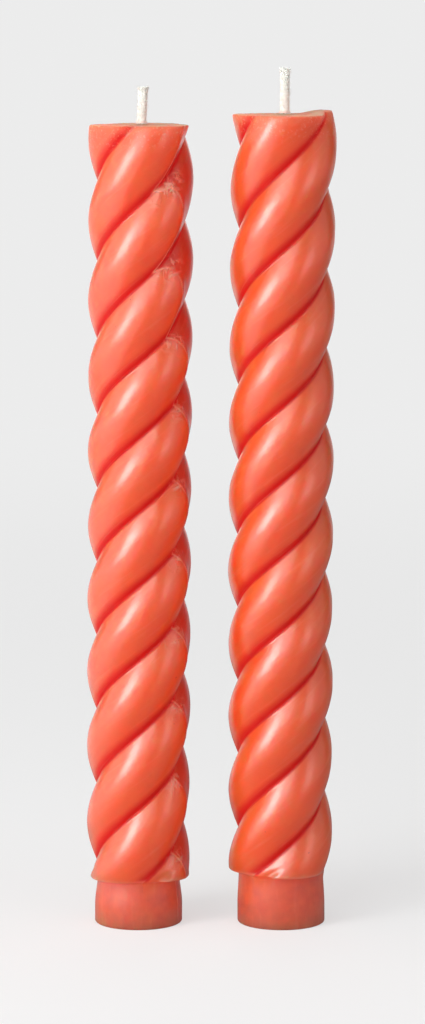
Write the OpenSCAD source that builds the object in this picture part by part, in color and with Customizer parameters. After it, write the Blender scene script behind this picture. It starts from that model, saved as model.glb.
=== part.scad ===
// A pair of spiral candles. Each is one wax casting, a column of three fat
// strands on a plain plug for a candle holder, poured round one cotton wick.
// Millimetres, +Z up. The origin is on the standing surface, halfway between
// the two candles. The front is towards -Y.

/* [Pair] */
// Distance between the axes of the two candles
axis_spacing = 36; // [30:0.1:60]

/* [Left candle] */
// Height of the left candle's wax, from its foot to its cut top
left_wax_h = 200; // [120:0.5:260]
// Height of the left candle's plug, below the strands
left_plug_h = 12; // [8:0.1:20]
// Angle of the left candle's first strand at the middle of its column
left_turn = 96; // [0:1:360]
// Length of wick that stands out of the left candle
left_wick_out = 9.1; // [5:0.1:20]
// Angle by which the left candle's wick leans to the right
left_wick_lean = 3.2; // [0:0.1:12]

/* [Right candle] */
// Height of the right candle's wax, from its foot to its cut top
right_wax_h = 202.5; // [120:0.5:260]
// Height of the right candle's plug, below the strands
right_plug_h = 13.4; // [8:0.1:20]
// Angle of the right candle's first strand at the middle of its column
right_turn = 59; // [0:1:360]
// Length of wick that stands out of the right candle
right_wick_out = 10.8; // [5:0.1:20]
// Angle by which the right candle's wick leans to the right
right_wick_lean = 1.4; // [0:0.1:12]

/* [Twisted column] */
// Number of strands in the twist
strand_count = 3; // [2:1:5]
// Radius of a strand's round crown, in level section
strand_r = 8.8; // [7:0.1:11]
// Distance from the candle's axis to the centre of a strand's crown
strand_offset = 4.25; // [2:0.05:5.5]
// Height in which a strand makes one full turn, at the middle of the column
twist_pitch = 55.4; // [40:0.1:90]
// Angle by which the twist falls short at the top end of the column
top_slack = 28; // [0:1:40]
// Angle by which the twist falls short at the lower end of the column
low_slack = 9; // [0:1:40]
// Radius of the softened edge round the cut top
top_round = 0.5; // [0.2:0.1:1.5]

/* [Plug] */
// Diameter of the plug's straight foot, which a holder grips
plug_foot_d = 22; // [18:0.1:25]
// Height of that straight foot, above its rounded edge
plug_land_h = 4; // [2:0.1:7]
// Diameter of the plug where it meets the strands
plug_neck_d = 20.8; // [16:0.1:24]
// Rounding of the foot's lower edge
foot_round = 0.5; // [0.2:0.1:1.5]
// Height over which the plug runs on into the valleys between the strands
neck_rise = 6; // [2:0.5:12]
// How far the plug has sunk under the valleys at the end of that height
neck_sink = 1.2; // [0.6:0.1:2]
// Width of the soft blend between the plug and a valley
neck_blend = 1; // [0.4:0.1:2]

/* [Wick] */
// Diameter of the braided wick
wick_d = 2.4; // [1.6:0.1:4]
// How far the wick's fluffed root stands out round it, on the cut top
root_flare = 0.3; // [0.2:0.05:0.8]
// Height of that root
root_h = 1.2; // [1:0.1:2.5]
// How far the wick's cut tip splays out
tip_splay = 0.2; // [0.1:0.05:0.8]
// Height over which the tip splays
tip_h = 1.6; // [0.8:0.1:3]
// Depth at which the wick is trimmed inside the foot
wick_recess = 0.5; // [0.2:0.1:2]

/* [Hidden] */

wax_colour = "#ee5f48";
wick_colour = "#f3efe2";

// Fineness of the column: points round it, and the height between its rings
points_per_strand = 12;
ring_step = 2.4;
// Shares of the edge radius, inwards and downwards, of the rings round the top
round_shares = [[0, 1], [0.3, 0.3], [1, 0]];
// Fineness of arcs and of the turned parts
arc_steps = 6;
turned_fn = 96;
// Overrun of the wick's channel past the wax
overrun = 1;

section_points = points_per_strand * strand_count;
strand_angle = 360 / strand_count;
wick_r = wick_d / 2;
foot_r = plug_foot_d / 2;
neck_r = plug_neck_d / 2;

// Outline of the column in level section: the distance from the axis to the
// crown of the nearest strand, at an angle counted from the first strand
function folded(angle) =
    let (turned = angle + strand_angle / 2)
    turned - strand_angle * floor(turned / strand_angle) - strand_angle / 2;
function crown_radius(angle) =
    let (t = folded(angle))
    strand_offset * cos(t) + sqrt(pow(strand_r, 2) - pow(strand_offset * sin(t), 2));
valley_r = crown_radius(strand_angle / 2);

// Turn of the strands at a height: a right-handed twist, slacker at both ends
function twist_at(z, low, high) =
    let (half = (high - low) / 2,
         u = (z - low - half) / half,
         slack = u > 0 ? top_slack : low_slack)
    360 * u * half / twist_pitch - slack * pow(u, 3);

// The larger of two radii, with a soft blend where they cross
function soft_max(a, b) =
    max(a, b) + pow(max(neck_blend - abs(a - b), 0), 2) / (4 * neck_blend);

// The column's radius at an angle from the first strand, at a rise above the
// lip: the strands, and low down in the valleys what is left of the plug
function column_radius(angle, rise) =
    let (left_of_plug = neck_r - (neck_r - valley_r + neck_sink) * rise / neck_rise)
    soft_max(crown_radius(angle), left_of_plug);

// One ring of the column at a height, drawn in by an inset
function ring(z, low, turn, inset) =
    [for (i = [0 : section_points - 1])
        let (angle = 360 * i / section_points,
             r = column_radius(angle, z - low) - inset)
        [r * cos(angle + turn), r * sin(angle + turn), z]];

// Triangles between ring k and the ring above it, split by their shorter diagonal
function band(k) =
    [for (i = [0 : section_points - 1], upper = [false, true])
        let (a = k * section_points + i,
             b = k * section_points + (i + 1) % section_points,
             c = a + section_points,
             d = b + section_points)
        upper ? [b, c, d] : [a, c, b]];

// The column of strands, from its lower lip to its cut top
module twisted_column(low, high, turn) {
    straight = high - top_round - low;
    steps = ceil(straight / ring_step);
    levels = concat(
        [for (i = [0 : steps - 1]) [low + straight * i / steps, 0]],
        [for (s = round_shares) [high - top_round * s[1], top_round * s[0]]]);
    rings = [for (l = levels) ring(l[0], low, turn + twist_at(l[0], low, high), l[1])];
    count = len(levels);
    last = (count - 1) * section_points;
    polyhedron(
        points = [for (r = rings, p = r) p],
        faces = concat(
            [[for (i = [0 : section_points - 1]) i]],
            [for (k = [0 : count - 2], f = band(k)) f],
            [[for (i = [section_points - 1 : -1 : 0]) last + i]]));
}

// Half outline of the plug: rounded foot, straight land and taper up to the lip
function plug_outline(plug_h) =
    concat(
        [[0, 0]],
        [for (i = [0 : arc_steps])
            let (a = 90 * i / arc_steps)
            [foot_r - foot_round + foot_round * sin(a), foot_round - foot_round * cos(a)]],
        [[foot_r, foot_round + plug_land_h],
         [neck_r, plug_h],
         [0, plug_h]]);

module plug(plug_h) {
    rotate_extrude($fn = turned_fn)
        polygon(plug_outline(plug_h));
}

// One candle's wax: column and plug in a single casting, round the wick's channel
module wax_casting(wax_h, plug_h, turn) {
    color(wax_colour)
        difference() {
            union() {
                twisted_column(plug_h, wax_h, turn);
                plug(plug_h);
            }
            translate([0, 0, -overrun])
                cylinder(h = wax_h + 2 * overrun, r = wick_r, $fn = turned_fn);
        }
}

// Half outline of the wick's root, a low cone round the foot of the stub
function root_outline() =
    [[0, 0],
     [wick_r + root_flare, 0],
     [wick_r + root_flare / 2, root_h],
     [0, root_h]];

// Half outline of the stub, a straight length with a splayed tip
function stub_outline(stub_h) =
    [[0, 0],
     [wick_r, 0],
     [wick_r, stub_h - tip_h],
     [wick_r + tip_splay, stub_h],
     [0, stub_h]];

// One candle's wick: trimmed inside the foot, straight up its channel into the
// root on the cut top, out of which the stub leans
module wick(wax_h, out, lean) {
    channel_end = wax_h + root_h / 4;
    stub_start = wax_h + root_h / 2;
    color(wick_colour) {
        translate([0, 0, wick_recess])
            cylinder(h = channel_end - wick_recess, r = wick_r, $fn = turned_fn);
        translate([0, 0, wax_h])
            rotate_extrude($fn = turned_fn)
                polygon(root_outline());
        translate([0, 0, stub_start])
            rotate([0, lean, 0])
                rotate_extrude($fn = turned_fn)
                    polygon(stub_outline(wax_h + out - stub_start));
    }
}

module left_wax_casting() {
    translate([-axis_spacing / 2, 0, 0])
        wax_casting(left_wax_h, left_plug_h, left_turn);
}

module left_wick() {
    translate([-axis_spacing / 2, 0, 0])
        wick(left_wax_h, left_wick_out, left_wick_lean);
}

module right_wax_casting() {
    translate([axis_spacing / 2, 0, 0])
        wax_casting(right_wax_h, right_plug_h, right_turn);
}

module right_wick() {
    translate([axis_spacing / 2, 0, 0])
        wick(right_wax_h, right_wick_out, right_wick_lean);
}

left_wax_casting();
left_wick();
right_wax_casting();
right_wick();
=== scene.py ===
import math
import bpy
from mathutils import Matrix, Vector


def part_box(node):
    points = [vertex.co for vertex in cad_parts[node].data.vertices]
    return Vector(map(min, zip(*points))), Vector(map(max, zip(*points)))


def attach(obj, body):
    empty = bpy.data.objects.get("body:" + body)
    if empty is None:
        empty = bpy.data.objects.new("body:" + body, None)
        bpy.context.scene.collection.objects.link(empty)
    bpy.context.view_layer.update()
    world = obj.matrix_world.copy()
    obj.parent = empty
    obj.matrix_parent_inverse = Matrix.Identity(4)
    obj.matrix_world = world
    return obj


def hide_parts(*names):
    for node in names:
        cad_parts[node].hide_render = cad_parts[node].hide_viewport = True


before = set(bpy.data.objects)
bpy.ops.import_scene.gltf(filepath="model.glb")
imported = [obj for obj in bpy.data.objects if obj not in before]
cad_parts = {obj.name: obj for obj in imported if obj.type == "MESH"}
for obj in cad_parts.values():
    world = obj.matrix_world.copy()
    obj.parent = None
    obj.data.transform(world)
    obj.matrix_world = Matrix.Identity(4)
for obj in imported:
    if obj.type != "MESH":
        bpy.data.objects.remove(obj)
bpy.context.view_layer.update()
MM = 0.001
mid_height = 100 * MM  # of the candles

# The photograph's view: a long lens about a metre in front of the pair, a little
# above the wicks' tips and pitched down. The lens and place were found from the
# outlines of both candles.
camera_pitch_deg = 7.67
camera_lens = bpy.data.cameras.new("Camera")
camera_lens.sensor_fit = "VERTICAL"
camera_lens.sensor_height = 36.0
camera_lens.lens = 140.24
camera = bpy.data.objects.new("Camera", camera_lens)
camera.location = (0.7 * MM, -984 * MM, 236.5 * MM)
camera.rotation_euler = (math.radians(90 - camera_pitch_deg), 0, 0)
bpy.context.scene.collection.objects.link(camera)
bpy.context.scene.camera = camera


# The wax castings. Each candle's wax is poured in one go into a slit silicone
# mould: three fat strands wound right-handed, on a plain plug for the holder, all
# one piece round the wick's channel. The slit leaves a fine raised line up one side.


class Flow:
    """A number on its way through a node tree, worked on with the usual signs."""

    def __init__(self, socket):
        self.socket = socket

    def through(self, operation, *others):
        node = self.socket.id_data.nodes.new("ShaderNodeMath")
        node.operation = operation
        for entry, value in zip(node.inputs, (self, *others)):
            feed(entry, value)
        return Flow(node.outputs[0])

    def __add__(self, other):
        return self.through("ADD", other)

    def __sub__(self, other):
        return self.through("SUBTRACT", other)

    def __mul__(self, other):
        return self.through("MULTIPLY", other)

    def __truediv__(self, other):
        return self.through("DIVIDE", other)

    def __neg__(self):
        return self * -1.0

    def __rsub__(self, other):
        return -self + other

    __radd__ = __add__
    __rmul__ = __mul__


def feed(entry, value):
    """Lead a flow into an entry of a node, or write a plain value there."""
    if isinstance(value, Flow):
        value.socket.id_data.links.new(value.socket, entry)
    else:
        entry.default_value = value


def add_node(tree, kind, entries=(), **settings):
    """Add a node to a tree, with its settings made and its entries fed."""
    node = tree.nodes.new(kind)
    for name, value in settings.items():
        setattr(node, name, value)
    for name, value in dict(entries).items():
        feed(node.inputs[name], value)
    return node


def ramp(flow, start, end, smooth=False):
    """Nought before start, one past end, and even or smooth steps between them."""
    shape = "SMOOTHSTEP" if smooth else "LINEAR"
    entries = {"Value": flow, "From Min": start, "From Max": end}
    node = add_node(flow.socket.id_data, "ShaderNodeMapRange", entries, interpolation_type=shape)
    return Flow(node.outputs["Result"])


def noise(place, size, seed, detail=2.0):
    """A smooth random flow round one half, over patches of a size in metres."""
    entries = {"Vector": place, "W": seed, "Scale": 1 / size, "Detail": detail}
    node = add_node(place.socket.id_data, "ShaderNodeTexNoise", entries, noise_dimensions="4D")
    return Flow(node.outputs[0])


def point(x, y, z):
    """Join three flows into one place."""
    tree = next(flow.socket.id_data for flow in (x, y, z) if isinstance(flow, Flow))
    node = add_node(tree, "ShaderNodeCombineXYZ", {"X": x, "Y": y, "Z": z})
    return Flow(node.outputs[0])


def bell(flow, width):
    """One at nought, falling smoothly to nought past a width to either side."""
    share = flow / width
    return (-(share * share)).through("EXPONENT")


def keep_mark(geometry, name, value, data_type="FLOAT", domain="POINT"):
    """Keep a flow on a mesh, under a name that the finish can read."""
    entries = {"Geometry": geometry, "Name": name, "Value": value}
    settings = {"data_type": data_type, "domain": domain}
    tree = geometry.socket.id_data
    return Flow(add_node(tree, "GeometryNodeStoreNamedAttribute", entries, **settings).outputs[0])


def start_tree(name, sizes):
    """A Geometry Nodes tree with a named input for each size, and one for the finish."""
    tree = bpy.data.node_groups.new(name, "GeometryNodeTree")
    tree.interface.new_socket("Geometry", in_out="OUTPUT", socket_type="NodeSocketGeometry")
    for title, size in sizes.items():
        entry = tree.interface.new_socket(title, in_out="INPUT", socket_type="NodeSocketFloat")
        entry.default_value = size
    tree.interface.new_socket("Finish", in_out="INPUT", socket_type="NodeSocketMaterial")
    inlet = tree.nodes.new("NodeGroupInput")
    return tree, {socket.name: Flow(socket) for socket in inlet.outputs if socket.name}


def end_tree(tree, geometry, finish):
    """End a tree in real, smooth faces with their finish."""
    real = add_node(tree, "GeometryNodeRealizeInstances", {"Geometry": geometry})
    smooth = add_node(tree, "GeometryNodeSetShadeSmooth", {"Geometry": Flow(real.outputs[0])})
    entries = {"Geometry": Flow(smooth.outputs[0]), "Material": finish}
    coated = add_node(tree, "GeometryNodeSetMaterial", entries)
    add_node(tree, "NodeGroupOutput", {"Geometry": Flow(coated.outputs[0])})


def empty_nodes(owner):
    """The node tree of a new material or world, with nothing in it."""
    owner.use_nodes = True
    owner.node_tree.nodes.clear()
    return owner.node_tree


def grown(tree, name, sizes, finish):
    """Run a tree with its sizes set, and keep what it makes as a plain mesh."""
    maker = bpy.data.objects.new(name + "_maker", bpy.data.meshes.new(name + "_maker"))
    bpy.context.scene.collection.objects.link(maker)
    modifier = maker.modifiers.new("Shape", "NODES")
    modifier.node_group = tree
    for entry in tree.interface.items_tree:
        if entry.name == "Finish":
            modifier[entry.identifier] = finish
        elif entry.name in sizes:
            modifier[entry.identifier] = float(sizes[entry.name])
    shown = maker.evaluated_get(bpy.context.evaluated_depsgraph_get())
    mesh = bpy.data.meshes.new_from_object(shown)
    maker.modifiers.remove(modifier)
    bpy.data.objects.remove(maker)
    piece = bpy.data.objects.new(name, mesh)
    bpy.context.scene.collection.objects.link(piece)
    return piece


# Sizes that both castings share, as one mould gives them
mould_sizes = {
    "Strand radius": 8.8 * MM,
    "Strand offset": 4.25 * MM,
    "Valley softness": 0.3 * MM,
    "Foot radius": 11 * MM,
    "Foot edge": 0.5 * MM,
    "Land top": 4.5 * MM,
    "Lip edge": 0.35 * MM,
    "Rim edge": 0.4 * MM,
    "Channel radius": 1.2 * MM,
    "Slit offset": 8.0 * MM,
    "Plug fade": 0.25,
    "Plug swell": 0.3 * MM,
}
# What differs from one candle to the other. The turns are degrees at 100 mm up,
# and the further terms say how they go on for each 100 mm above or below that.
castings = {
    "left": {
        "Lip": 12.0 * MM,
        "Neck radius": 10.3 * MM,
        "Turn": 56.7,
        "Turn rate": 651.7,
        "Turn bend": -3.0,
        "Turn slack": -25.4,
        "Slit turn": 12.7,
        "Slit drift": 2.2 * MM,
        "Cut rise": 0.0 * MM,
        "Axis lean": 0.62 * MM,
        "Axis bow": 0.0 * MM,
        "Seed": 1.0,
    },
    "right": {
        "Lip": 13.4 * MM,
        "Neck radius": 10.6 * MM,
        "Turn": 9.3,
        "Turn rate": 649.4,
        "Turn bend": -9.8,
        "Turn slack": -18.9,
        "Slit turn": 85.3,
        "Slit drift": 1.2 * MM,
        "Cut rise": 0.9 * MM,
        "Axis lean": 0.15 * MM,
        "Axis bow": 0.5 * MM,
        "Seed": 2.0,
    },
}
# Bands of the skin and their rows of faces, from the channel's lower end out
# over the foot, up the side, in over the cut top and back down the channel
skin_bands = {
    "foot face": 6,
    "foot edge": 4,
    "plug side": 24,
    "lip face": 6,
    "lip edge": 3,
    "column": 364,
    "rim edge": 4,
    "top face": 9,
    "channel": 10,
}
skin_columns = 216
strands = 3

tree, size = start_tree(
    "Twisted casting",
    {**mould_sizes, **castings["left"], "Axis X": 0.0, "Top": 0.2},
)
rows = sum(skin_bands.values())
grid = add_node(
    tree,
    "GeometryNodeMeshGrid",
    {"Size X": 1.0, "Size Y": 1.0, "Vertices X": skin_columns + 1, "Vertices Y": rows + 1},
)
place = add_node(tree, "GeometryNodeInputPosition")
split = add_node(tree, "ShaderNodeSeparateXYZ", {"Vector": Flow(place.outputs[0])})
lap = Flow(split.outputs["X"]) * math.tau
row = (Flow(split.outputs["Y"]) + 0.5) * float(rows)
done = {}
first = 0
for band, count in skin_bands.items():
    done[band] = ramp(row, first, first + count)
    first += count


def quarter_sine(share):
    """How far a quarter round has gone sideways or up when it ends level."""
    return (share * (math.pi / 2)).through("SINE")


def quarter_cosine(share):
    """How far a quarter round has gone when it starts level."""
    return 1 - (share * (math.pi / 2)).through("COSINE")


# Height of each row over the floor, before the skin turns down the channel
column_h = size["Top"] - size["Rim edge"] - size["Lip"] - size["Lip edge"]
climb = (
    quarter_cosine(done["foot edge"]) * size["Foot edge"]
    + done["plug side"] * (size["Lip"] - size["Foot edge"])
    + quarter_cosine(done["lip edge"]) * size["Lip edge"]
    + done["column"] * column_h
    + quarter_sine(done["rim edge"]) * size["Rim edge"]
)
level = climb.through("MAXIMUM", size["Lip"])


def turn_at(height):
    """Turn of the strands at a height, which slackens towards both ends."""
    step = (height - mid_height) / mid_height
    curved = size["Turn bend"] + size["Turn slack"] * step
    return (size["Turn"] + step * (size["Turn rate"] + step * curved)) * math.radians(1)


# Turn at each row. Down the channel it goes back to the first row's turn.
turn = turn_at(level)
first_turn = turn_at(size["Lip"])
whole_turns = ((turn - first_turn) / math.tau).through("ROUND") * math.tau
turn = turn + done["channel"] * (first_turn + whole_turns - turn)

# Columns run along the strands and crowd together at the valleys
crowding = 0.5
round_strand = lap + (lap * float(strands)).through("SINE") * (crowding / strands)
bearing = round_strand + turn

# Outline of the strands: the nearest crown, softly joined to the next one
strand_step = math.tau / strands
folded = (round_strand + strand_step / 2).through("FLOORED_MODULO", strand_step)
off_crown = (folded - strand_step / 2).through("ABSOLUTE")


def crown(angle):
    """How far out a strand's round crown is, at an angle from its middle."""
    across = angle.through("SINE") * size["Strand offset"]
    rest = (size["Strand radius"] * size["Strand radius"] - across * across).through("SQRT")
    return angle.through("COSINE") * size["Strand offset"] + rest


rope = crown(off_crown).through(
    "SMOOTH_MAX", crown(strand_step - off_crown), size["Valley softness"]
)
from_valley = (strand_step / 2 - off_crown) * rope

# The plug, which swells a little where it meets a valley and runs on up into it
plug_softness = 1.2 * MM
swell_depth = 2.5 * MM
flare = size["Foot radius"] - size["Neck radius"]
plug = size["Foot radius"] - flare * ramp(climb, size["Land top"], size["Lip"], smooth=True)
at_valley = 1 - ramp(rope - size["Neck radius"], 0.0, plug_softness, smooth=True)
near_lip = ramp(climb, size["Lip"] - swell_depth, size["Lip"], smooth=True)
plug = plug + size["Plug swell"] * at_valley * near_lip
plug_rest = size["Neck radius"] + size["Plug swell"] * at_valley
plug_rest = plug_rest - size["Plug fade"] * (level - size["Lip"])
body = rope.through("SMOOTH_MAX", plug_rest, plug_softness)

# Unevenness of hand-poured wax: slow swells, and dimples a few millimetres wide
skin_radius = 12 * MM
spot_x = bearing.through("COSINE") * skin_radius
spot_y = bearing.through("SINE") * skin_radius
spot = point(spot_x, spot_y, climb)
swell_width = 22 * MM
swell_height = 0.7 * MM
dimple_width = 5 * MM
dimple_height = 0.12 * MM
swells = (noise(spot, swell_width, size["Seed"], detail=1.0) - 0.5) * swell_height
dimples = (noise(spot, dimple_width, size["Seed"] + 9, detail=1.0) - 0.5) * dimple_height

# Which side of a valley a point is on: one on the upper side of the strand below it,
# nought on the lower side of the strand above it
strand_wave = (round_strand * float(strands)).through("SINE")
below_valley = ramp(strand_wave, 0.06, -0.06)

# The mould line, where the slit in the mould meets the wax: the skin rises to it,
# falls back a little behind it, and is wrinkled where the line crosses a valley
line_height = 0.3 * MM
steep_flank = 0.8 * MM
slow_flank = 1.7 * MM
fall_start = 1.6 * MM
fall_reach = 11 * MM
fall_depth = 0.45 * MM
wander_length = 9 * MM
wander_width = 0.8 * MM
drift_start = 132 * MM
drift_end = 162 * MM
far_side = 9 * MM
slit_slant = 0.7  # how fast the skin leaves the slit's plane
slit_turn = bearing - size["Slit turn"] * math.radians(1)
off_side = ramp(slit_turn.through("COSINE"), 0.25, -0.5, smooth=True) * far_side
wander = (noise(spot, wander_length, size["Seed"] + 10, detail=1.0) - 0.5) * wander_width
wander = wander + size["Slit drift"] * ramp(level, drift_start, drift_end, smooth=True)
from_slit_plane = body * slit_turn.through("SINE") + size["Slit offset"] + wander
past_slit = from_slit_plane / slit_slant
behind = past_slit.through("MAXIMUM", 0.0) + off_side
before = (-past_slit).through("MAXIMUM", 0.0) + off_side
tent = (-(behind / steep_flank + before / slow_flank)).through("EXPONENT") * line_height
on_slit_side = ramp(slit_turn.through("COSINE"), -0.2, 0.5, smooth=True)
fall = (1 - bell(behind, fall_start)) * bell(behind, fall_reach) * on_slit_side * fall_depth

# The wrinkles lie mostly on the strand below a crossing, deepest near the top, and
# are drawn out down the candle
wrinkle_depth = 1.2 * MM
wrinkle_width = 1.5 * MM
wrinkled_beside = 2.5 * MM
wrinkled_over = 1.6 * MM
wrinkled_under = 3.2 * MM
under_middle = 3.6 * MM
deep_start = 162 * MM
deep_end = 178 * MM
shallow_share = 0.55
fold_level = 0.3
fold_gain = 3.2
near_crossing = bell(past_slit - 0.2 * MM, wrinkled_beside) * on_slit_side
near_crossing = near_crossing * bell(from_valley * below_valley - under_middle, wrinkled_under)
near_crossing = near_crossing * bell(from_valley * (1 - below_valley), wrinkled_over)
deepening = ramp(level, deep_start, deep_end) * (1 - shallow_share)
near_crossing = near_crossing * (deepening + shallow_share)
drawn_down = point(spot_x, spot_y, climb * 0.3)
folds = noise(drawn_down, wrinkle_width, size["Seed"] + 30, detail=1.5) - 0.5
crease_shape = fold_level - folds.through("ABSOLUTE") * fold_gain
creases = near_crossing * crease_shape * wrinkle_depth

# A burr along the upper edge of a strand, here and there, beside the valley
burr_height = 0.12 * MM
burr_width = 0.24 * MM
burr_place = 0.62 * MM
burr_length = 16 * MM
burr_breaks = ramp(noise(spot, burr_length, size["Seed"] + 40), 0.5, 0.58)
burr = bell(from_valley - burr_place, burr_width) * below_valley * burr_breaks * burr_height

# Where a valley runs out on to the plug, wax has filled the ledge beside it
filled_height = 3.5 * MM
filled_start = 6.5 * MM
filled_end = 3 * MM
filled_share = 0.8
filled = ramp(from_valley * below_valley, filled_start, filled_end, smooth=True) * below_valley
filled = filled * ramp(level, size["Lip"] + filled_height, size["Lip"], smooth=True)
body = body + (plug - body) * filled * filled_share

# The side of the wax. The plug has less of the relief than the column.
plug_share = 0.4
lip_share = 0.2
fade_in = 1.5 * MM
above_lip = ramp(climb, size["Lip"], size["Lip"] + fade_in)
relief_share = above_lip * (1 - lip_share) + lip_share
relief = swells + dimples + (tent - fall + creases + burr) * relief_share
plug_side = plug + swells * plug_share
side = plug_side + done["lip face"] * (body + relief - plug_side)

# Rounded edges, as insets from the side
least_ledge = 0.02 * MM
ledge = (body + relief - plug).through("MAXIMUM", least_ledge)
lip_inset = size["Lip edge"].through("MINIMUM", ledge * 0.5)
inset = (
    size["Foot edge"] * (1 - quarter_sine(done["foot edge"]))
    + lip_inset * (1 - quarter_sine(done["lip edge"])) * done["lip face"]
    + size["Rim edge"] * quarter_cosine(done["rim edge"])
)
outness = done["foot face"] - done["top face"]
reach = size["Channel radius"] + (side - inset - size["Channel radius"]) * outness

# The cut top: a little uneven, with a collar of wax drawn up the wick, and on one
# candle raised at the rear of one side
collar_height = 0.35 * MM
collar_width = 0.5 * MM
crumb_height = 0.35 * MM
crumb_width = 1.6 * MM
risen_turn = math.radians(15)
collar = (-((reach - size["Channel radius"]) / collar_width)).through("EXPONENT")
reach_x = reach * bearing.through("COSINE")
reach_y = reach * bearing.through("SINE")
crumbs = noise(point(reach_x, reach_y, climb), crumb_width, size["Seed"] + 50, detail=3.0)
crumbs = (crumbs - 0.5) * done["rim edge"]
climb = climb + collar * ramp(done["top face"], 0.0, 0.2) * collar_height
climb = climb + crumbs * crumb_height
risen_side = ramp((bearing - risen_turn).through("COSINE"), 0.55, 0.9, smooth=True)
near_rim = 1 - ramp(done["top face"], 0.0, 0.6, smooth=True)
climb = climb + size["Cut rise"] * risen_side * near_rim * done["rim edge"]
climb = climb * (1 - done["channel"])


def axis_at(height):
    """The axis at a height: it leans and bows by about a millimetre, from a true foot."""
    rise = height / mid_height
    bow_end = 1.9
    return size["Axis X"] + (size["Axis lean"] + size["Axis bow"] * (rise - bow_end)) * rise


skin_point = point(axis_at(climb) + reach_x, reach_y, climb)

# Marks that the finish reads: how far a point is past the slit and whether it is on
# the slit's side, how far it lies over or under the nearest valley, below the cut
# top and above the lip, and whether it is wrinkled or cut. The map runs along the
# strands.
skin = Flow(grid.outputs["Mesh"])
marks = {
    "past_slit": past_slit,
    "slit_side": slit_turn.through("COSINE"),
    "over_valley": from_valley * (1 - below_valley),
    "under_valley": from_valley * below_valley,
    "below_cut": size["Top"] - climb + done["top face"] * (5 * MM),
    "above_lip": climb - size["Lip"],
    "crossing": near_crossing,
    "cut_face": ramp(done["rim edge"], 0.5, 1.0) * (1 - done["channel"]),
}
for mark, flow in marks.items():
    skin = keep_mark(skin, mark, flow)
row_height = 0.5 * MM
map_point = point(lap * skin_radius, row * row_height, 0.0)
skin = keep_mark(skin, "UVMap", map_point, data_type="FLOAT2", domain="CORNER")
laid = add_node(tree, "GeometryNodeSetPosition", {"Geometry": skin, "Position": skin_point})
closed = add_node(
    tree,
    "GeometryNodeMergeByDistance",
    {"Geometry": Flow(laid.outputs[0]), "Distance": 0.002 * MM},
)
end_tree(tree, Flow(closed.outputs[0]), size["Finish"])

# The wax: coral red right through and translucent, most of all to red light, with a glossy skin,
# a pale bloom in streaks along the strands and a few pinholes darkened with painted shade
wax = bpy.data.materials.new("coral_wax")
shader = empty_nodes(wax)
body_shade = add_node(
    shader,
    "ShaderNodeBsdfPrincipled",
    {
        "Subsurface Weight": 1.0,
        "Subsurface Radius": (1.0, 0.017, 0.0095),
        "Subsurface Scale": 30.0 * MM,
        "IOR": 1.5,
        "Specular IOR Level": 0.33,
        "Coat Roughness": 0.27,
        "Coat IOR": 1.7,
    },
)
add_node(shader, "ShaderNodeOutputMaterial", {"Surface": Flow(body_shade.outputs[0])})
coordinates = add_node(shader, "ShaderNodeTexCoord")
where = Flow(coordinates.outputs["Object"])
along = add_node(shader, "ShaderNodeMapping", {"Vector": Flow(coordinates.outputs["UV"])})
along.inputs["Scale"].default_value = (1.0, 0.14, 1.0)
streaks = noise(Flow(along.outputs[0]), 1.6 * MM, seed=0.0, detail=4.0)
clouds = noise(where, 13 * MM, seed=3.0, detail=3.0)
peel = noise(where, 2.6 * MM, seed=4.0, detail=1.0)
grain = noise(where, 0.6 * MM, seed=7.0, detail=3.0)
mottles = noise(where, 3.4 * MM, seed=14.0, detail=4.0)
pinholes = ramp(noise(where, 1.1 * MM, seed=5.0, detail=0.0), 0.12, 0.06)


def marked(name):
    """A mark of the mesh, such as how far a point is over the nearest valley."""
    return Flow(add_node(shader, "ShaderNodeAttribute", attribute_name=name).outputs["Fac"])


def mix(factor, first, second):
    """A colour between two others."""
    node = add_node(factor.socket.id_data, "ShaderNodeMix", {"Factor": factor}, data_type="RGBA")
    feed(node.inputs[6], first)
    feed(node.inputs[7], second)
    return Flow(node.outputs[2])


coral = (0.90, 0.116, 0.019, 1.0)
deep_coral = (0.88, 0.092, 0.012, 1.0)
valley_shade_red = (0.64, 0.003, 0.002, 1.0)
shade_crimson = (0.55, 0.02, 0.008, 1.0)
plug_red = (0.80, 0.105, 0.045, 1.0)
plug_brown = (0.60, 0.060, 0.028, 1.0)
bloom_and_highlight_pink = (0.95, 0.32, 0.21, 1.0)
pinhole_shade_red = (0.45, 0.03, 0.015, 1.0)
over_valley = marked("over_valley")
under_valley = marked("under_valley")
over_lip = marked("above_lip")
under_cut = marked("below_cut")
past_slit = marked("past_slit")
slit_side = marked("slit_side")
wrinkled = marked("crossing")
on_cut = marked("cut_face")

# Painted shade in the valleys: a deep red, wide on the lower side of the strand above and narrow
# on the upper side of the strand below; and where the valleys run out on to the plug
in_valley = ramp(over_valley, 4.4 * MM, 0.5 * MM, smooth=True)
in_valley = in_valley * ramp(under_valley, 1.3 * MM, 0.2 * MM, smooth=True)
in_valley = in_valley * ramp(over_lip, -0.4 * MM, 0.6 * MM)
run_out = ramp(under_valley, filled_start, filled_end, smooth=True)
run_out = run_out * ramp(over_valley, 0.4 * MM, 0.0)
lowest = -0.4 * MM - run_out * (4 * MM)

# The plug's duller skin, a painted highlight along its lip's edge, the cut face and the crumbled
# wax below the cut
on_plug = ramp(over_lip, 0.2 * MM, lowest)
painted_lip_highlight = bell(over_lip - 0.3 * MM, 0.4 * MM) * (1 - run_out)
streaks = streaks + (peel - streaks) * on_cut
near_cut = ramp(under_cut + (peel - 0.5) * (3 * MM), 2.6 * MM, 0.0)
scuffs = ramp(grain, 0.56, 0.66) * ramp(under_cut, 7 * MM, 0.5 * MM)
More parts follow.
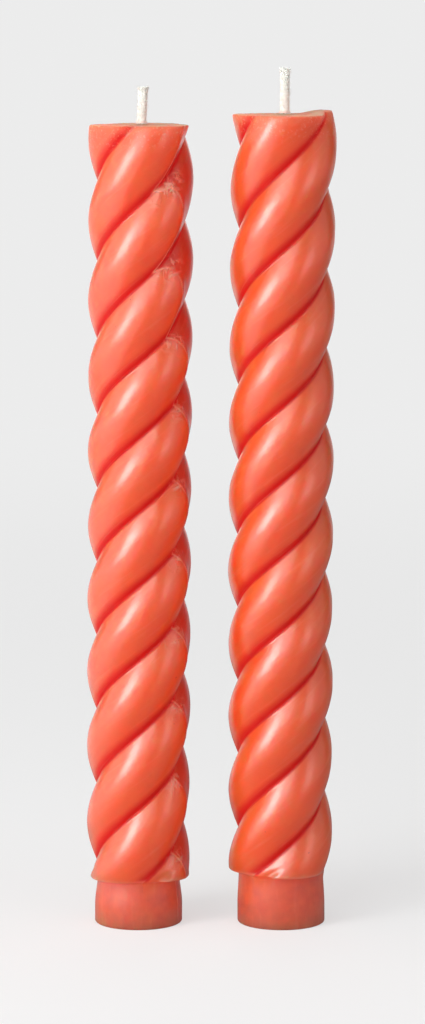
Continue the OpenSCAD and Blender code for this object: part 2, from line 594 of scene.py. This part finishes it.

# Beyond the mould line the skin is painted darker: painted shade of the flank turned from the
# window, and partly a deeper tone of the wax there. The line itself is a thin raised flash with a
# painted pale highlight, and fins of wax stand up, level or steep, where it crosses a valley, with
# painted glints on them.
shaded_behind_slit = ramp(past_slit, -1.2 * MM, 0.6 * MM) * ramp(slit_side, 0.0, 0.3)
shaded_behind_slit = shaded_behind_slit * ramp(past_slit, 13 * MM, 8 * MM, smooth=True)
level_map = add_node(shader, "ShaderNodeMapping", {"Vector": where})
level_map.inputs["Scale"].default_value = (0.4, 0.4, 1.0)
steep_map = add_node(shader, "ShaderNodeMapping", {"Vector": where})
steep_map.inputs["Scale"].default_value = (1.0, 1.0, 0.4)
fin_width = 1.3 * MM
level_fins = noise(Flow(level_map.outputs[0]), fin_width, seed=31.0, detail=1.0)
steep_fins = noise(Flow(steep_map.outputs[0]), fin_width, seed=37.0, detail=1.0)
fins_and_glints = ramp(level_fins.through("MAXIMUM", steep_fins), 0.54, 0.68) * ramp(wrinkled, 0.04, 0.5)
flash_breaks = ramp(noise(where, 5 * MM, seed=20.0), 0.4, 0.55)
flash_and_highlight = bell(past_slit, 0.2 * MM) * flash_breaks * ramp(slit_side, 0.0, 0.1)

# Colour, from the clean skin to the marks on it
tint = mix(ramp(clouds, 0.3, 0.7), deep_coral, coral)
# painted shade beyond the mould line, partly a deeper tone of the wax there
tint = mix(shaded_behind_slit * 0.75, tint, shade_crimson)
# painted shade in the valleys
tint = mix(in_valley * 0.97, tint, valley_shade_red)
tint = mix(on_plug * 0.8, tint, plug_red)
tint = mix(on_plug * ramp(mottles, 0.42, 0.66) * 0.5, tint, plug_brown)
pale_share = ramp(streaks, 0.55, 0.8) * 0.2 + near_cut * 0.35 + scuffs * 0.6
# a painted highlight along the lip's edge
pale_share = pale_share + on_cut * 0.7 + painted_lip_highlight * 0.35
# painted highlights: a faint sheen on the wrinkles, glints on the fins and a pale line along the
# mould line
pale_share = pale_share + wrinkled * 0.1 + fins_and_glints * 0.8 + flash_and_highlight * 0.7
# the wax's pale bloom, and the colour of the painted highlights
tint = mix(pale_share, tint, bloom_and_highlight_pink)
# painted shade in the pinholes
tint = mix(pinholes, tint, pinhole_shade_red)
feed(body_shade.inputs["Base Color"], tint)

# Gloss: less on the bloom, the plug and in the valleys, and none on the cut face
satin = 0.4 + ramp(streaks, 0.35, 0.75) * 0.1 + ramp(clouds, 0.4, 0.7) * 0.06
satin = satin + near_cut * 0.2 + on_plug * 0.06 + on_cut * 0.4 + in_valley * 0.3
feed(body_shade.inputs["Roughness"], satin)
skin_gloss = 1.0 - ramp(streaks, 0.45, 0.8) * 0.25 - ramp(clouds, 0.5, 0.7) * 0.35
skin_gloss = skin_gloss * (1 - on_cut) * (1 - near_cut * 0.7) * (1 - in_valley * 0.9)
feed(body_shade.inputs["Coat Weight"], skin_gloss)

# Relief too fine for the mesh, in millimetres
relief_mm = streaks * 0.07 + peel * 0.12 + grain * 0.016 + on_plug * mottles * 0.12
relief_mm = relief_mm + fins_and_glints * 0.45 + flash_and_highlight * 0.2 + scuffs * 0.05 - pinholes * 0.05
bump = add_node(shader, "ShaderNodeBump", {"Height": relief_mm * MM, "Distance": 1.0})
feed(body_shade.inputs["Normal"], Flow(bump.outputs[0]))

for side_name, own_sizes in castings.items():
    low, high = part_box(f"{side_name}_wax_casting")
    sizes = {**mould_sizes, **own_sizes, "Axis X": (low[0] + high[0]) / 2, "Top": high[2]}
    casting = grown(tree, f"{side_name}_casting", sizes, wax)
    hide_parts(f"{side_name}_wax_casting")
    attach(casting, f"{side_name}_candle")


# The wicks. Each is a round cord of bleached cotton, braided from four plies each
# way round a core, that runs down the whole channel. It stands out of the cut top,
# leans a little, splays at its cut tip and is soaked with wax at its root.
wick_sizes = {
    "Cord radius": 1.2 * MM,
    "Yarn radius": 0.13 * MM,
    "Weave depth": 0.13 * MM,
    "Pitch": 6.4 * MM,
    "Recess": 0.5 * MM,
    "Braided below": 3.5 * MM,
    "Tip splay": 0.36,
    "Root splay": 0.42,
}
wicks = {
    "left": {"Stub lean": 2.8, "Out": 9.4 * MM, "Cut slope": 0.05, "Seed": 3.0},
    "right": {"Stub lean": 0.3, "Out": 11.5 * MM, "Cut slope": -0.16, "Seed": 8.0},
}
plies = 4
yarns_in_ply = 4
fuzz_density = 2.6e6  # loose fibres on each square metre

tree, size = start_tree(
    "Braided wick",
    {**wick_sizes, **wicks["left"], "Axis X": 0.0, "Top": 0.2, "Axis lean": 0.0, "Axis bow": 0.0},
)


def wick_axis(height):
    """The candle's axis, and above the wax the line that the stub leans along."""
    above = (height - size["Top"]).through("MAXIMUM", 0.0)
    slope = (size["Stub lean"] * math.radians(1)).through("TANGENT")
    return axis_at(height - above) + slope * above


def spline_along(tree, points, copies=1):
    """A line of points in one or more copies, with how far along each point is."""
    line = add_node(tree, "GeometryNodeCurvePrimitiveLine")
    line.inputs["End"].default_value = (0, 0, MM)
    even = add_node(tree, "GeometryNodeResampleCurve", {"Curve": Flow(line.outputs[0])})
    even.inputs["Count"].default_value = points
    copied = add_node(
        tree, "GeometryNodeDuplicateElements", {"Geometry": Flow(even.outputs[0])}, domain="SPLINE"
    )
    copied.inputs["Amount"].default_value = copies
    factor = Flow(add_node(tree, "GeometryNodeSplineParameter").outputs["Factor"])
    return Flow(copied.outputs["Geometry"]), factor, Flow(copied.outputs["Duplicate Index"])


def tube_on(tree, line, places, radius, sides, thickness=None):
    """Lay a line's points in their places and give it a round, capped thickness."""
    entries = {"Geometry": line, "Position": places}
    line = Flow(add_node(tree, "GeometryNodeSetPosition", entries).outputs[0])
    section = add_node(tree, "GeometryNodeCurvePrimitiveCircle", {"Radius": radius})
    section.inputs["Resolution"].default_value = sides
    entries = {"Curve": line, "Profile Curve": Flow(section.outputs["Curve"]), "Fill Caps": True}
    if thickness is not None:
        entries["Scale"] = thickness
    return Flow(add_node(tree, "GeometryNodeCurveToMesh", entries).outputs[0])


yarn_spacing = 1.95  # from one yarn's middle to the next, in yarn radii
yarn_slant = 0.8
quarter_ply = math.tau / plies / 4
tip_reach = 0.75 * MM
root_reach = 0.6 * MM
ragged_tip = 0.7 * MM


def braid(start, end, points):
    """The plies of the cord between two heights, over and under each other."""
    line, factor, number = spline_along(tree, points, 2 * plies * yarns_in_ply)
    way = number.through("FLOORED_MODULO", 2.0) * 2 - 1
    ply = (number / 2).through("FLOOR").through("FLOORED_MODULO", float(plies))
    yarn = (number / (2.0 * plies)).through("FLOOR") - (yarns_in_ply - 1) / 2
    ragged = noise(point(number * 1.7, size["Seed"], 0.0), 1.0, seed=0.0, detail=0.0) - 0.5
    middle = size["Cord radius"] - size["Yarn radius"] - size["Weave depth"]
    wound = factor * (end - start) / size["Pitch"] * math.tau
    angle = way * wound + ply * (math.tau / plies) + way * quarter_ply
    angle = angle + way * yarn * size["Yarn radius"] * yarn_spacing / (middle * yarn_slant)
    over = ((wound + quarter_ply) * float(plies)).through("COSINE") * way
    height = start + factor * (end - start)
    above = height - size["Top"]
    to_tip = size["Out"] - above
    splay = 1 + size["Tip splay"] * (-(to_tip / tip_reach)).through("EXPONENT") * (1 + ragged)
    splay = splay + size["Root splay"] * bell(above - 0.1 * MM, root_reach) * (1 + ragged)
    radius = (middle + over * size["Weave depth"]) * splay
    across = radius * angle.through("COSINE")
    near_tip = ramp(to_tip, 2 * MM, 0.0)
    height = height + near_tip * (ragged * ragged_tip + across * size["Cut slope"])
    places = point(wick_axis(height) + across, radius * angle.through("SINE"), height)
    return tube_on(tree, line, places, size["Yarn radius"], 7)


tip = size["Top"] + size["Out"] - 0.2 * MM
stub = braid(size["Top"] - size["Braided below"], tip, 84)
heel = braid(size["Recess"], size["Recess"] + size["Braided below"], 24)

# The core that the plies cover. Where they don't show it stands in for them, and is
# a little wider than the channel.
widens_over = 0.6 * MM
covered_share = 0.68
hidden_share = 1.04
core_foot = size["Recess"] + 0.15 * MM
core_tip = tip - 0.2 * MM
line, factor, _ = spline_along(tree, 120)
height = core_foot + factor * (core_tip - core_foot)
above = height - size["Top"]
hidden = ramp(-above, size["Braided below"] - widens_over, size["Braided below"])
hidden = hidden * ramp(height, size["Braided below"], size["Braided below"] + widens_over)
core_share = covered_share + hidden * (hidden_share - covered_share)
core_radius = size["Cord radius"] * core_share
places = point(wick_axis(height), 0.0, height)
core = tube_on(tree, line, places, 1.0, 24, core_radius)

# Loose fibres that stand off the yarns of the stub
fibre_length = 0.55 * MM
fibre_curl = 0.25 * MM
fibre_radius = 0.022 * MM
fibre_lean = 0.9
shortest_share = 0.35
longest_share = 1.3
fibre_line, factor, _ = spline_along(tree, 5)
fibre_place = point(factor * factor * fibre_curl, 0.0, factor * fibre_length)
fibre = tube_on(tree, fibre_line, fibre_place, fibre_radius, 3)
place = add_node(tree, "GeometryNodeInputPosition")
split = add_node(tree, "ShaderNodeSeparateXYZ", {"Vector": Flow(place.outputs[0])})
above_wax = Flow(split.outputs["Z"]) - size["Top"]
shows = above_wax.through("GREATER_THAN", 0.2 * MM)
roots = add_node(
    tree,
    "GeometryNodeDistributePointsOnFaces",
    {"Mesh": stub, "Selection": shows, "Density": fuzz_density},
)
roots.inputs["Seed"].default_value = 4
random_turn = add_node(tree, "FunctionNodeRandomValue", data_type="FLOAT_VECTOR")
random_turn.inputs[0].default_value = (-fibre_lean, -fibre_lean, 0.0)
random_turn.inputs[1].default_value = (fibre_lean, fibre_lean, math.tau)
turned = add_node(
    tree,
    "FunctionNodeRotateRotation",
    {"Rotation": Flow(roots.outputs["Rotation"])},
    rotation_space="LOCAL",
)
tree.links.new(random_turn.outputs[0], turned.inputs["Rotate By"])
random_size = add_node(tree, "FunctionNodeRandomValue", data_type="FLOAT")
random_size.inputs[2].default_value = shortest_share
random_size.inputs[3].default_value = longest_share
fuzz = add_node(
    tree,
    "GeometryNodeInstanceOnPoints",
    {
        "Points": Flow(roots.outputs["Points"]),
        "Instance": fibre,
        "Scale": Flow(random_size.outputs[1]),
    },
)
tree.links.new(turned.outputs[0], fuzz.inputs["Rotation"])
fuzz_mesh = add_node(tree, "GeometryNodeRealizeInstances", {"Geometry": Flow(fuzz.outputs[0])})
cord = add_node(tree, "GeometryNodeJoinGeometry")
for part in (stub, heel, core, Flow(fuzz_mesh.outputs[0])):
    tree.links.new(part.socket, cord.inputs[0])
end_tree(tree, keep_mark(Flow(cord.outputs[0]), "above_wax", above_wax), size["Finish"])

# Bleached cotton: off-white and matt, with the grain of fine filaments, and
# pinker towards the root, where it has drawn up wax
cotton = bpy.data.materials.new("bleached_cotton")
shader = empty_nodes(cotton)
body_shade = add_node(
    shader,
    "ShaderNodeBsdfPrincipled",
    {
        "Roughness": 0.85,
        "Sheen Weight": 0.25,
        "Sheen Roughness": 0.5,
    },
)
add_node(shader, "ShaderNodeOutputMaterial", {"Surface": Flow(body_shade.outputs[0])})
where = Flow(add_node(shader, "ShaderNodeTexCoord").outputs["Object"])
above = Flow(add_node(shader, "ShaderNodeAttribute", attribute_name="above_wax").outputs["Fac"])
filaments = noise(where, 0.12 * MM, seed=11.0, detail=3.0)
soil = noise(where, 1.5 * MM, seed=12.0, detail=2.0)
cotton_shade = (0.88, 0.91, 0.84, 1.0)
cotton_white = (0.93, 0.96, 0.91, 1.0)
raw_cotton = (0.86, 0.78, 0.64, 1.0)
waxed_pink = (0.93, 0.50, 0.40, 1.0)
tint = mix(ramp(filaments, 0.3, 0.7), cotton_shade, cotton_white)
tint = mix(ramp(soil, 0.5, 0.8) * 0.2, tint, raw_cotton)
soaked = ramp(above + (soil - 0.5) * (1.2 * MM), 1.3 * MM, 0.0, smooth=True)
tint = mix(soaked * 0.6, tint, waxed_pink)
feed(body_shade.inputs["Base Color"], tint)
bump = add_node(shader, "ShaderNodeBump", {"Height": filaments * (0.05 * MM), "Distance": 1.0})
feed(body_shade.inputs["Normal"], Flow(bump.outputs[0]))

for side_name, own_sizes in wicks.items():
    low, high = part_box(f"{side_name}_wax_casting")
    sizes = {**castings[side_name], **wick_sizes, **own_sizes}
    sizes.update({"Axis X": (low[0] + high[0]) / 2, "Top": high[2]})
    wick = grown(tree, f"{side_name}_cotton_wick", sizes, cotton)
    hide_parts(f"{side_name}_wick")
    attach(wick, f"{side_name}_candle")


def ray_kinds(tree):
    """Whether the camera sees a surface by a ray, and whether the wax mirrors it."""
    rays = add_node(tree, "ShaderNodeLightPath")
    seen = Flow(rays.outputs["Is Camera Ray"]) + Flow(rays.outputs["Is Transmission Ray"])
    return seen, Flow(rays.outputs["Is Glossy Ray"])


# The floor: a plain pale matt surface that the candles stand on. It keeps their
# shadow and runs on past the view, where it is as pale as the backdrop. To the wax's
# reflections it glows on its window side and far end, a painted reflection of a lit table
# and backdrop, and to other bounced light it glows faintly, painted light from below.
floor_mesh = bpy.data.meshes.new("floor")
floor_reach = 60.0
corners = [(-1, -1), (1, -1), (1, 1), (-1, 1)]
floor_mesh.from_pydata(
    [(x * floor_reach, y * floor_reach, -0.01 * MM) for x, y in corners], [], [(0, 1, 2, 3)]
)
floor = bpy.data.objects.new("floor", floor_mesh)
bpy.context.scene.collection.objects.link(floor)
paint = bpy.data.materials.new("pale_floor")
paint_tree = empty_nodes(paint)
seen, mirrored = ray_kinds(paint_tree)
floor_spot = Flow(add_node(paint_tree, "ShaderNodeTexCoord").outputs["Object"])
away = add_node(paint_tree, "ShaderNodeVectorMath", {"Vector": floor_spot}, operation="LENGTH")
far = ramp(Flow(away.outputs["Value"]), 0.05, 1.1, smooth=True)
floor_grey = 0.35
matt = add_node(paint_tree, "ShaderNodeBsdfDiffuse", {"Color": (1 - seen * far) * floor_grey})
spread_out = add_node(paint_tree, "ShaderNodeSeparateXYZ", {"Vector": floor_spot})
behind_pair = ramp(Flow(spread_out.outputs["Y"]), 0.5, 1.1, smooth=True)
window_side = ramp(Flow(spread_out.outputs["X"]), -0.01, -0.14, smooth=True)
in_front = ramp(Flow(spread_out.outputs["Y"]), 0.06, -0.06, smooth=True)
window_reflection_glow = window_side * (0.6 + in_front * 0.4)
# painted reflection: the floor glows only to rays that the wax mirrors
painted_reflection_glow = (behind_pair * 0.5).through("MAXIMUM", window_reflection_glow) + 0.02
# painted light from below: a faint glow to other bounced rays
painted_bounce_glow = (1 - seen) * (1 - mirrored) * 0.1
near_level = 0.56
backdrop_level = 0.84
seen_level = near_level + far * (backdrop_level - near_level)
glow_level = seen * seen_level + mirrored * painted_reflection_glow + painted_bounce_glow
glow = add_node(paint_tree, "ShaderNodeEmission", {"Strength": glow_level})
both = add_node(paint_tree, "ShaderNodeAddShader")
feed(both.inputs[0], Flow(matt.outputs[0]))
feed(both.inputs[1], Flow(glow.outputs[0]))
add_node(paint_tree, "ShaderNodeOutputMaterial", {"Surface": Flow(both.outputs[0])})
floor_mesh.materials.append(paint)


# The studio: a window to the left of the camera, a little above the candles and
# brightest in its middle, and pale walls and a ceiling that throw its light back.
def soft_light(name, bearing_deg, height_deg, distance, wide, tall, level):
    """A rectangular light that faces the middle of the candles."""
    lamp = bpy.data.lights.new(name, "AREA")
    lamp.shape = "RECTANGLE"
    lamp.size = wide
    lamp.size_y = tall
    lamp.energy = level * math.pi * wide * tall
    bearing_angle = math.radians(bearing_deg)
    height_angle = math.radians(height_deg)
    light = bpy.data.objects.new(name, lamp)
    light.location = (
        distance * math.cos(height_angle) * math.sin(bearing_angle),
        -distance * math.cos(height_angle) * math.cos(bearing_angle),
        mid_height + distance * math.sin(height_angle),
    )
    light.rotation_euler = (math.pi / 2 - height_angle, 0, bearing_angle)
    light.visible_camera = False
    bpy.context.scene.collection.objects.link(light)


# Bearing from the camera's side and height in degrees, then distance, width and
# height in metres, and level
lamps = {
    "window_left": (-50, 16, 0.95, 0.6, 0.6, 1.8),
    "window_middle": (-50, 17, 0.94, 0.36, 0.42, 6.5),
    "window_top": (-32, 36, 1.2, 0.9, 0.7, 2.2),
    "wall_left": (-85, 12, 1.3, 1.8, 1.4, 1.1),
    "room_left": (-15, 14, 1.5, 1.3, 1.2, 0.65),
    "ceiling": (0, 82, 1.1, 1.0, 1.0, 1.0),
    "wall_right": (64, 12, 1.3, 2.0, 1.6, 0.44),
    "wall_behind": (180, 14, 1.5, 0.9, 1.3, 1.1),
    "reflector_right": (45, 18, 1.1, 0.4, 0.4, 1.6),
}
for lamp_name, settings in lamps.items():
    soft_light(lamp_name, *settings)

# The room's own dim light. To the camera the backdrop is pale, and the wax mirrors
# only the part of it straight behind the pair.
room_level = 0.13
world = bpy.data.worlds.new("studio")
air = empty_nodes(world)
seen, mirrored = ray_kinds(air)
view_line = Flow(add_node(air, "ShaderNodeTexCoord").outputs["Generated"])
direction = add_node(air, "ShaderNodeSeparateXYZ", {"Vector": view_line})
backdrop = ramp(Flow(direction.outputs["Y"]), 0.7, 0.97, smooth=True)
brightness = room_level + seen * (backdrop_level - room_level)
brightness = brightness + mirrored * (backdrop * 0.6 - 0.01)
haze = add_node(air, "ShaderNodeBackground", {"Strength": brightness})
add_node(air, "ShaderNodeOutputWorld", {"Surface": Flow(haze.outputs[0])})
haze.inputs["Color"].default_value = (1.0, 1.0, 1.0, 1.0)
bpy.context.scene.world = world
bpy.context.scene.view_settings.view_transform = "Standard"
